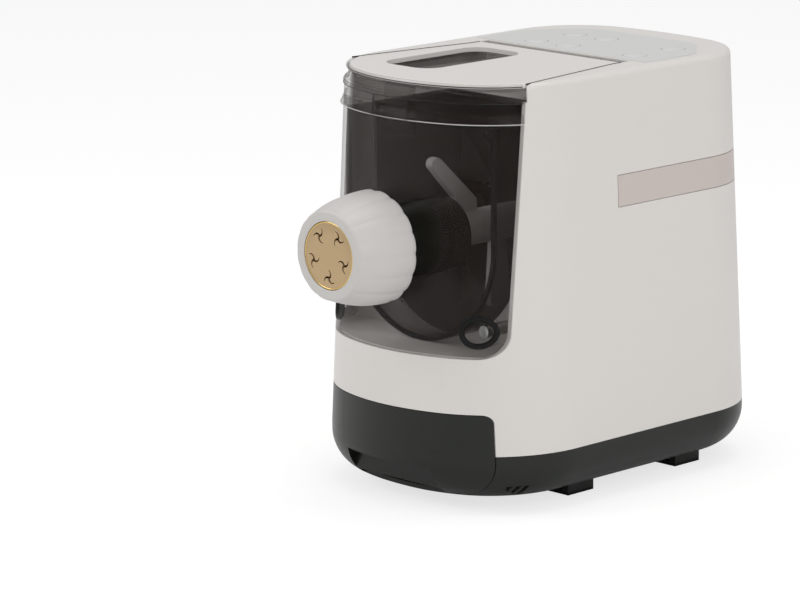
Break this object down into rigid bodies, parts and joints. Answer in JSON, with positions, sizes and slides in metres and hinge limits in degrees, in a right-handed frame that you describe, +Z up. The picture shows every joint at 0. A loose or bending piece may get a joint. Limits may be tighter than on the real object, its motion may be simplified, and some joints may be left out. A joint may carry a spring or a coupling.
{
  "type": "electric pasta maker",
  "caption": "Countertop electric pasta maker with hinged lid, smoke front cover, extrusion nozzle, brass die, mixing paddle, drawer and control keys.",
  "frame": {"origin": "centre of the overall outline on the table under the feet", "axes": "+Z up, nozzle points to -Y, +X is the right side seen from the front"},
  "size_m": [0.2, 0.36, 0.2892],
  "materials": {
    "white_shell": "warm white, satin gloss",
    "black_base": "satin black",
    "smoke_plastic": "clear smoke, polished",
    "rubber": "matt",
    "steel": "machined",
    "brass": "turned",
    "panel_grey": "matt film",
    "board_green": "lacquered",
    "board_black": "moulded",
    "grey_plastic": "frosted grey-white",
    "band_grey": "satin"
  },
  "bodies": {
    "housing": {"housing_shell": "white_shell", "base_tray": "black_base", "base_feet": "black_base", "foot_pads": "rubber", "front_frame": "white_shell", "mixing_drum": "smoke_plastic", "locating_pins": "steel", "hinge_pins": "steel", "control_panel": "panel_grey", "control_board": "board_green", "board_posts": "grey_plastic", "key_switches": "board_black", "side_band": "band_grey", "gearbox_front_plate": "steel", "gearbox_rear_plate": "steel", "gearbox_posts": "steel", "gearbox_screws": "steel", "output_bushes": "brass", "idler_axle": "steel", "motor_can": "black_base", "mains_posts": "grey_plastic", "mains_board": "board_green", "board_parts": "board_black", "cord_gland": "black_base"},
    "lid": {"lid_shell": "smoke_plastic", "lid_panel": "white_shell", "lid_latch": "black_base"},
    "cover": {"front_cover": "smoke_plastic", "drum_door": "smoke_plastic", "door_seal": "rubber", "extrusion_barrel": "black_base", "shaping_die": "brass"},
    "nut": {"ring_nut": "grey_plastic"},
    "drawer": {"drawer_front": "black_base", "drawer_tray": "black_base"},
    "stirrer": {"output_shaft": "steel", "output_gear": "steel", "mixing_paddle": "grey_plastic"},
    "idler": {"idler_wheel": "grey_plastic", "idler_pinion": "grey_plastic"},
    "rotor": {"motor_shaft": "steel", "motor_rotor": "steel", "motor_pinion": "steel", "cooling_fan": "grey_plastic"},
    "key_1": {"panel_key_1": "panel_grey"},
    "key_2": {"panel_key_2": "panel_grey"},
    "key_3": {"panel_key_3": "panel_grey"},
    "key_4": {"panel_key_4": "panel_grey"},
    "key_5": {"panel_key_5": "panel_grey"},
    "key_6": {"panel_key_6": "panel_grey"}
  },
  "joints": [
    {"name": "lid_hinge", "type": "hinge", "parent": "housing", "child": "lid", "pos_m": [0, 0.034, 0.284], "axis": [-1, 0, 0], "range_deg": [0, 95]},
    {"name": "cover_slide", "type": "slide", "parent": "housing", "child": "cover", "axis": [0, -1, 0], "range_m": [0, 0.075]},
    {"name": "nut_turn", "type": "hinge", "parent": "cover", "child": "nut", "pos_m": [0, -0.157, 0.177], "axis": [0, 1, 0], "range_deg": [0, 90]},
    {"name": "drawer_slide", "type": "slide", "parent": "housing", "child": "drawer", "axis": [0, -1, 0], "range_m": [0, 0.085]},
    {"name": "paddle_turn", "type": "hinge", "parent": "housing", "child": "stirrer", "pos_m": [0, 0, 0.177], "axis": [0, 1, 0], "continuous": true},
    {"name": "idler_turn", "type": "hinge", "parent": "housing", "child": "idler", "pos_m": [0, 0, 0.12075], "axis": [0, 1, 0], "continuous": true},
    {"name": "rotor_turn", "type": "hinge", "parent": "housing", "child": "rotor", "pos_m": [0, 0, 0.08475], "axis": [0, 1, 0], "continuous": true},
    {"name": "key_1_press", "type": "slide", "parent": "housing", "child": "key_1", "axis": [0, 0, -1], "range_m": [0, 0.001], "stiffness_N_per_m": 600},
    {"name": "key_2_press", "type": "slide", "parent": "housing", "child": "key_2", "axis": [0, 0, -1], "range_m": [0, 0.001], "stiffness_N_per_m": 600},
    {"name": "key_3_press", "type": "slide", "parent": "housing", "child": "key_3", "axis": [0, 0, -1], "range_m": [0, 0.001], "stiffness_N_per_m": 600},
    {"name": "key_4_press", "type": "slide", "parent": "housing", "child": "key_4", "axis": [0, 0, -1], "range_m": [0, 0.001], "stiffness_N_per_m": 600},
    {"name": "key_5_press", "type": "slide", "parent": "housing", "child": "key_5", "axis": [0, 0, -1], "range_m": [0, 0.001], "stiffness_N_per_m": 600},
    {"name": "key_6_press", "type": "slide", "parent": "housing", "child": "key_6", "axis": [0, 0, -1], "range_m": [0, 0.001], "stiffness_N_per_m": 600}
  ],
  "couplings": [
    {"joint": "idler_turn", "follows": "paddle_turn", "ratio": -4},
    {"joint": "rotor_turn", "follows": "paddle_turn", "ratio": 12}
  ]
}
